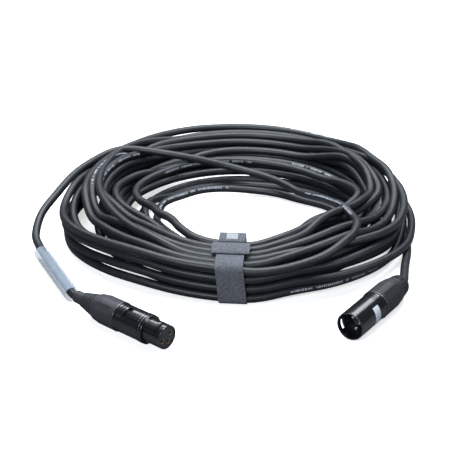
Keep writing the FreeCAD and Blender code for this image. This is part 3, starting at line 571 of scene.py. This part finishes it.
def tick(start, length, angle, height):
    """A patch of print on the jacket."""
    rows = []
    for distance in (start, start + length / 2, start + length):
        at, heading = cable_at(distance * MM)
        up = (PRINT_SIDE - heading * PRINT_SIDE.dot(heading)).normalized()
        side = heading.cross(up)
        angles = [angle + height * (2 * i / TICK_COLUMNS - 1) for i in range(TICK_COLUMNS + 1)]
        corners = [at + (up * math.cos(a) + side * math.sin(a)) * TICK_RADIUS * MM for a in angles]
        rows.append([print_mesh.verts.new(corner) for corner in corners])
    for near, far in zip(rows, rows[1:]):
        for i in range(TICK_COLUMNS):
            print_mesh.faces.new((near[i], far[i], far[i + 1], near[i + 1]))


prints = 0
print_at = PRINT_START
while print_at + PRINT_LENGTH < travelled[-1] / MM - PRINT_STOP:
    turned_by = PRINT_SWAY * math.sin(print_at * PRINT_WAVE)
    reach = 0.0
    while reach < PRINT_LENGTH:
        length = tick_sizes.choice(TICK_LENGTHS)
        height = TICK_HEIGHT * tick_sizes.choice(TICK_SHARES)
        tick(print_at + reach, length, turned_by, height)
        reach += length + (TICK_GAP if tick_sizes.random() < SAME_GROUP else GROUP_GAP)
    prints += 1
    print_at += PRINT_REPEAT
data = bpy.data.meshes.new("cable_print")
print_mesh.to_mesh(data)
print_mesh.free()
data.materials.append(ink.material)
cable_print = bpy.data.objects.new("cable_print", data)
bpy.context.scene.collection.objects.link(cable_print)
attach(cable_print, "lead")
print(prints, "printed stretches")

# %% [markdown]
# ## Finishes of the connectors
# The shells are die-cast metal with glossy black lacquer, the blocks inside them satin plastic, the
# pins bright plated metal. The nut and the boot behind it are soft to the touch and dark grey. Each
# finish drifts between two shades and two roughnesses, because nothing that is handled stays even.

# %% Lacquered metal
lacquer = Finish("lacquer_black", coat=0.35, coat_roughness=0.08, specular=0.5)
handling = lacquer.wear(160.0, detail=5.0)
lacquer_colour = lacquer.blend(handling, (0.005, 0.005, 0.006), (0.009, 0.009, 0.011))
lacquer.surface(lacquer_colour, 0.16 + handling * 0.12)
lacquer.relief(lacquer.wear(900.0, detail=2.0), 0.05, 0.00005)
print("lacquer", lacquer.material.name)

# %% Moulded plastic and rubber
def moulded(name, specular, mottle, dark, light, roughness, grain=None):
    """A finish from the scale and detail of its mottle, two shades, the least roughness and what the
    mottle adds to it, and the scale, strength and depth of its grain."""
    made = Finish(name, specular=specular)
    tone = made.wear(*mottle)
    made.surface(made.blend(tone, dark, light), roughness[0] + tone * roughness[1])
    if grain:
        scale, strength, depth = grain
        made.relief(made.wear(scale), strength, depth)
    return made


block = moulded("block_satin", 0.5, (300.0, 3.0), (0.022, 0.024, 0.028), (0.034, 0.036, 0.042),
                (0.38, 0.12), grain=(2200.0, 0.08, 0.00005))
nut_finish = moulded("nut_soft", 0.45, (240.0, 4.0), (0.018, 0.020, 0.024), (0.030, 0.032, 0.038),
                     (0.46, 0.14), grain=(2400.0, 0.12, 0.00006))
boot_finish = moulded("boot_rubber", 0.4, (320.0, 4.0), (0.012, 0.013, 0.016), (0.022, 0.024, 0.028),
                      (0.5, 0.14), grain=(2600.0, 0.12, 0.00006))
dark_nut = moulded("nut_dark", 0.45, (260.0, 4.0), (0.009, 0.010, 0.012), (0.016, 0.017, 0.020),
                   (0.44, 0.14))
print("moulded", [made.material.name for made in (block, nut_finish, boot_finish, dark_nut)])

# %% Plated metal
plated = Finish("plated_bright", metallic=1.0)
scuff = plated.wear(700.0, detail=4.0, stretch=(1.0, 1.0, 3.0))
plated.surface(plated.blend(scuff, (0.78, 0.77, 0.74), (0.92, 0.91, 0.89)), 0.16 + scuff * 0.16)
brassy = Finish("contact_brass", metallic=1.0)
tarnish = brassy.wear(600.0, detail=4.0)
brassy.surface(brassy.blend(tarnish, (0.5, 0.38, 0.18), (0.75, 0.6, 0.34)), 0.24 + tarnish * 0.2)
cores_finish = Finish("core_red", specular=0.5)
core_tone = cores_finish.wear(200.0)
core_colour = cores_finish.blend(core_tone, (0.4, 0.05, 0.04), (0.55, 0.1, 0.08))
cores_finish.surface(core_colour, 0.4 + core_tone * 0.1)
print("plated", plated.material.name, "and", brassy.material.name)

# %% Clear sleeve
sleeve_finish = Finish("sleeve_clear", specular=0.5)
haze = sleeve_finish.wear(90.0, detail=4.0)
sleeve_colour = sleeve_finish.blend(haze, (0.36, 0.43, 0.52), (0.50, 0.57, 0.66))
sleeve_finish.surface(sleeve_colour, 0.10 + haze * 0.12, alpha=0.28 + haze * 0.14)
sleeve_finish.relief(sleeve_finish.wear(120.0, detail=2.0), 0.2, 0.0004)
print("sleeve", sleeve_finish.material.name)

# %% Put the finishes on
ON_NODES = {
    "female_shell": lacquer, "male_shell": lacquer, "female_latch": lacquer,
    "female_insert": block, "male_insert": block, "female_chuck": block, "male_chuck": block,
    "female_bushing": nut_finish, "male_bushing": dark_nut, "female_boot": nut_finish,
    "male_boot": boot_finish, "female_latch_pin": plated, "female_latch_spring": plated,
    "female_wires": cores_finish, "male_wires": cores_finish, "label_sleeve": sleeve_finish}
for number in (1, 2, 3):
    ON_NODES[f"male_pin_{number}"] = plated
    ON_NODES[f"female_contact_{number}"] = brassy
for node, finish in ON_NODES.items():
    data = bpy.data.objects[node].data
    for index in range(len(data.materials)):
        data.materials[index] = finish.material
print(len(ON_NODES), "pieces of the construction model dressed")

# %% [markdown]
# ## Painted edge highlights and plain labels
# Thin bright lines run round the edges of the shells and nuts. They are painted highlights where the
# edges catch the light, drawn as rings of metallic wire round the connector's axis, sunk in the edge.
# The pale label of the male shell stays blank. It and the strokes on the female one are thin meshes
# that find the shell below by casting rays at it.

# %% Painted edge highlights
# a bright metallic finish that paints the glints of light on edges, its shade drifting at random
painted_glint = Finish("edge_glint_painted", metallic=1.0)
glint_tone = painted_glint.wear(420.0, detail=4.0)
painted_glint.surface(painted_glint.blend(glint_tone, (0.10, 0.11, 0.125), (0.42, 0.45, 0.49)), 0.22 + glint_tone * 0.14)
blank = Finish("label_blank", specular=0.4)
smudge = blank.wear(520.0, detail=4.0)
blank.surface(blank.blend(smudge, (0.36, 0.40, 0.45), (0.70, 0.74, 0.79)), 0.4 + smudge * 0.2)
worn_label = Finish("label_worn", specular=0.2)
fade = worn_label.wear(800.0, detail=4.0)
worn_label.surface(worn_label.blend(fade, (0.20, 0.215, 0.24), (0.42, 0.44, 0.47)), 0.8)
RING_STEPS, WIRE_SIDES = 72, 6


def new_object(name, mesh, finish, body):
    """A smooth object from a bmesh, on its body and with its finish."""
    data = bpy.data.meshes.new(name)
    mesh.to_mesh(data)
    mesh.free()
    data.materials.append(finish.material)
    for face in data.polygons:
        face.use_smooth = True
    made = bpy.data.objects.new(name, data)
    bpy.context.scene.collection.objects.link(made)
    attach(made, body)
    return made


def edge_lines(name, end, lines, body):
    """Thin rings round a connector's axis that paint highlights on its edges: distance from its face,
    radius and half thickness of each.
    """
    mesh = bmesh.new()
    for along, radius, wire in lines:
        rings = []
        for i in range(RING_STEPS):
            a = 2 * math.pi * i / RING_STEPS
            ring = []
            for j in range(WIRE_SIDES):
                b = 2 * math.pi * j / WIRE_SIDES
                r = radius + wire * math.cos(b)
                at = end @ Vector((along + wire * math.sin(b), r * math.cos(a), r * math.sin(a)))
                ring.append(mesh.verts.new(at * MM))
            rings.append(ring)
        for i in range(RING_STEPS):
            near, far = rings[i], rings[(i + 1) % RING_STEPS]
            for j in range(WIRE_SIDES):
                after = (j + 1) % WIRE_SIDES
                mesh.faces.new((near[j], far[j], far[after], near[after]))
    bmesh.ops.recalc_face_normals(mesh, faces=mesh.faces)
    new_object(name, mesh, painted_glint, body)


# painted highlights: bright rings where the edges of the shells and nuts catch the light
edge_lines("male_shell_glints", male, [(0.1, 9.2, 0.1)], "lead")
edge_lines("female_shell_glints", female, [
    (0.2, 7.82, 0.12), (14.5, 9.6, 0.12), (16.6, 9.72, 0.1), (18.7, 9.6, 0.12)], "lead")
edge_lines("male_nut_glint", male, [(32.9, 9.93, 0.16)], "male_nut")
edge_lines("female_nut_glint", female, [(39.4, 9.93, 0.16)], "female_nut")
print("rubbed edges on both shells and nuts")

# %% Labels
# rays start outside the shell, a patch lies this far above what they meet, and one that meets
# nothing takes the shell's own radius
RAY_START, LABEL_LIFT, SHELL_RADIUS = 16, 0.06, 9.5
LABEL_SPAN, LABEL_ANGLES, LABEL_STEPS = (17.2, 23.6), (42, 128), (2, 16)
STROKE_STARTS, STROKE_WIDTH, STROKE_STEPS = (19.6, 21.2, 22.8, 24.4), 0.55, (1, 4)
# angles of the strokes, of which those from a certain distance on are the shorter ones
LONG_STROKE, SHORT_STROKE, SHORT_FROM = (-14, 4), (-14, -4), 22


def wrapped(mesh, node, end, along, angles, steps):
    """A patch on a node's surface, between two distances and two angles from straight up."""
    target = bpy.data.objects[node]
    inverse = target.matrix_world.inverted()
    axis = (end.to_3x3() @ Vector((1, 0, 0))).normalized()
    up = Vector((0, 0, 1))
    side = axis.cross(up).normalized()
    rows = []
    for i in range(steps[0] + 1):
        x = along[0] + (along[1] - along[0]) * i / steps[0]
        row = []
        for j in range(steps[1] + 1):
            a = math.radians(angles[0] + (angles[1] - angles[0]) * j / steps[1])
            out = up * math.cos(a) + side * math.sin(a)
            centre = end @ Vector((x, 0, 0)) * MM
            start = centre + out * RAY_START * MM
            hit, at = target.ray_cast(inverse @ start, inverse.to_3x3() @ -out)[:2]
            at = target.matrix_world @ at if hit else centre + out * SHELL_RADIUS * MM
            row.append(mesh.verts.new(at + out * LABEL_LIFT * MM))
        rows.append(row)
    for near, far in zip(rows, rows[1:]):
        for j in range(steps[1]):
            mesh.faces.new((near[j], far[j], far[j + 1], near[j + 1]))


label = bmesh.new()
wrapped(label, "male_shell", male, LABEL_SPAN, LABEL_ANGLES, LABEL_STEPS)
new_object("male_label", label, blank, "lead")
marks = bmesh.new()
for start in STROKE_STARTS:
    angles = LONG_STROKE if start < SHORT_FROM else SHORT_STROKE
    wrapped(marks, "female_shell", female, (start, start + STROKE_WIDTH), angles, STROKE_STEPS)
new_object("female_marks", marks, blank, "lead")
print("a label on the male shell,", len(STROKE_STARTS), "strokes on the female one")

# %% [markdown]
# ## The tie
# The tie is brushed hook-and-loop tape: once round the bundle, out through the slot of its own wide
# head, and back over it. It is drawn as thin bands that follow the outline of the solid closely, but
# lean and lift a little, as a strip that someone has pulled tight by hand does.

# %% Tape finish
tape = Finish("tape_grey", specular=0.2)
fluff = tape.ramp(tape.wear(1100.0, detail=3.0, roughness=0.7), 0.32, 0.68)
patch = tape.wear(120.0, detail=4.0)
tape_colour = tape.blend(fluff, (0.045, 0.05, 0.062), (0.22, 0.235, 0.265))
tape_colour = tape.blend(patch * 0.3, tape_colour, (0.18, 0.19, 0.212))
tape.surface(tape_colour, 0.9 + fluff * 0.1)
tape.relief(fluff, 0.9, 0.0006)
print("tape", tape.material.name)

# %% Bands of tape
# the four sides of the strap, the radius of its corners, and how far in from a side their centres are
INNER_Y, OUTER_Y = -88.5, -131.55
LOW, HIGH = 0.5, 30.25
CORNER, CORNER_INSET = 4.5, 4.0
TAPE_THICK, TAPE_EDGE = 1.0, 0.35
STRAP_WIDTH, HEAD_WIDTH, TAIL_WIDTH = 19.0, 26.0, 18.4
COLUMNS = 12
# the tape stands a little to one side, and its front leans that way, most of all at the bottom
ASIDE = 0.6
LEAN, LEAN_START, LEAN_FADE = 0.1, 15, 25
# places on the top of the tie: distance in from its inner side, and height over the strap
STRAP_ENDS = (9.0, 12.6)
HEAD_LINE = [(12.0, 1.2), (14.0, 1.6), (17.0, 2.4), (22.0, 2.8), (26.0, 2.2), (28.0, 1.2)]
# the tail starts where it is hinged, so that nothing of it swings down when it is peeled
TAIL_LINE = [(10.5, 1.2), (7.5, 2.4), (4.5, 3.2)]
# height of the tail over the strap, radius of its bend, how far it hangs past the inner side, and down
TAIL_HEIGHT, TAIL_BEND, TAIL_OUT, TAIL_DROP = 3.2, 4.0, 1.8, 13.5
# the mark lies on the tail between two places, its sides left and right of the tie's middle
MARK_START, MARK_END = (8.6, 1.95), (2.6, 3.2)
MARK_SIDES, MARK_LIFT = (-3.4, 4.4), 0.62


def band(name, outline, width, body, node=None):
    """A strip of tape along an outline of (y, z) points, with rounded edges."""
    mesh = bmesh.new()
    rows = []
    for y, z in outline:
        middle = ASIDE + LEAN * (HIGH - z) * smooth((INNER_Y - y - LEAN_START) / LEAN_FADE)
        across = [middle + width * (i / COLUMNS - 0.5) for i in range(COLUMNS + 1)]
        rows.append([mesh.verts.new(place_turned((x, y, z))) for x in across])
    for near, far in zip(rows, rows[1:]):
        for i in range(COLUMNS):
            mesh.faces.new((near[i], near[i + 1], far[i + 1], far[i]))
    made = new_object(name, mesh, tape, body)
    solid = made.modifiers.new("tape thickness", "SOLIDIFY")
    solid.thickness = TAPE_THICK * MM
    solid.offset = 0.0
    edge = made.modifiers.new("soft edge", "BEVEL")
    edge.width = TAPE_THICK * TAPE_EDGE * MM
    edge.segments = 2
    if node:
        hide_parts(node)


def bend(y, z, radius, first, last, count=6):
    """Points round a bend of the tape."""
    angles = [math.radians(first + (last - first) * i / count) for i in range(count + 1)]
    return [(y + radius * math.cos(a), z + radius * math.sin(a)) for a in angles]


def on_top(places):
    return [(INNER_Y - inward, HIGH + height) for inward, height in places]


inner, outer = INNER_Y - CORNER_INSET, OUTER_Y + CORNER_INSET
around = bend(inner, HIGH - CORNER, CORNER, 90, 0)
around += bend(inner, LOW + CORNER, CORNER, 0, -90)
around += bend(outer, LOW + CORNER, CORNER, -90, -180)
around += bend(outer, HIGH - CORNER, CORNER, 180, 90)
strap_start, strap_end = on_top([(inward, 0) for inward in STRAP_ENDS])
band("tie_strap_tape", [strap_start] + around + [strap_end], STRAP_WIDTH, "lead", "tie_strap")
band("tie_head_tape", on_top(HEAD_LINE), HEAD_WIDTH, "lead")
tail_line = on_top(TAIL_LINE)
tail_line += bend(INNER_Y + TAIL_OUT - TAIL_BEND, HIGH + TAIL_HEIGHT - TAIL_BEND, TAIL_BEND, 90, 0)
tail_line += [(INNER_Y + TAIL_OUT, HIGH - TAIL_DROP)]
band("tie_tail_tape", tail_line, TAIL_WIDTH, "tail", "tie_tail")
mark = bmesh.new()
mark_rows = []
for y, z in on_top([MARK_START] + TAIL_LINE[1:] + [MARK_END]):
    mark_rows.append([mark.verts.new(place_turned((x, y, z + MARK_LIFT))) for x in MARK_SIDES])
for near, far in zip(mark_rows, mark_rows[1:]):
    mark.faces.new((near[0], near[1], far[1], far[0]))
new_object("tie_mark", mark, worn_label, "tail")
print("tie drawn as strap, head and tail, with a blank mark")

# %% [markdown]
# ## Floor and light
# The object lies on white paper under soft studio light. The floor shows white to the camera alone,
# so that it hardly lights the cable from below, and still takes a faint shadow.

# %% Floor
FLOOR_REACH = 6
floor_data = bpy.data.meshes.new("studio_floor")
floor_corners = [(x * FLOOR_REACH, y * FLOOR_REACH, 0) for x, y in ((-1, -1), (1, -1), (1, 1), (-1, 1))]
floor_data.from_pydata(floor_corners, [], [(0, 1, 2, 3)])
floor = bpy.data.objects.new("studio_floor", floor_data)
bpy.context.scene.collection.objects.link(floor)
paper = Finish("studio_paper", specular=0.0)
seen = paper.node("ShaderNodeLightPath")
paper.surface(paper.blend(seen, (0.16, 0.165, 0.175), (0.8, 0.8, 0.8)), 0.9)
paper.feed(paper.shader.inputs["Emission Color"], paper.blend(seen, (0, 0, 0), (1, 1, 1)))
paper.shader.inputs["Emission Strength"].default_value = 0.62
floor_data.materials.append(paper.material)
print("floor", 2 * FLOOR_REACH, "m wide")

# %% Light
LIGHT_COLOUR = (0.90, 0.95, 1.0)
world = bpy.data.worlds.new("studio_world")
bpy.context.scene.world = world
world.use_nodes = True
background = world.node_tree.nodes["Background"]
background.inputs["Color"].default_value = (0.86, 0.93, 1, 1)
background.inputs["Strength"].default_value = 0.09


def soft_box(name, place_m, size, power):
    """A rectangular light that points at the middle of the model."""
    data = bpy.data.lights.new(name, "AREA")
    data.shape = "RECTANGLE"
    data.size, data.size_y = size
    data.energy = power
    data.color = LIGHT_COLOUR
    made = bpy.data.objects.new(name, data)
    made.location = place_m
    made.rotation_euler = (Vector() - Vector(place_m)).to_track_quat("-Z", "Y").to_euler()
    bpy.context.scene.collection.objects.link(made)


soft_box("top_box", (0.0, 0.2, 1.2), (1.1, 0.42), power=24)
soft_box("back_box", (0.0, 1.0, 1.0), (1.9, 0.35), power=15)
soft_box("front_box", (-0.45, -1.15, 0.75), (0.6, 0.3), power=12)
soft_box("side_box", (1.1, -0.5, 0.6), (0.5, 0.5), power=4)
bpy.context.scene.view_settings.view_transform = "Standard"
print("four soft boxes")
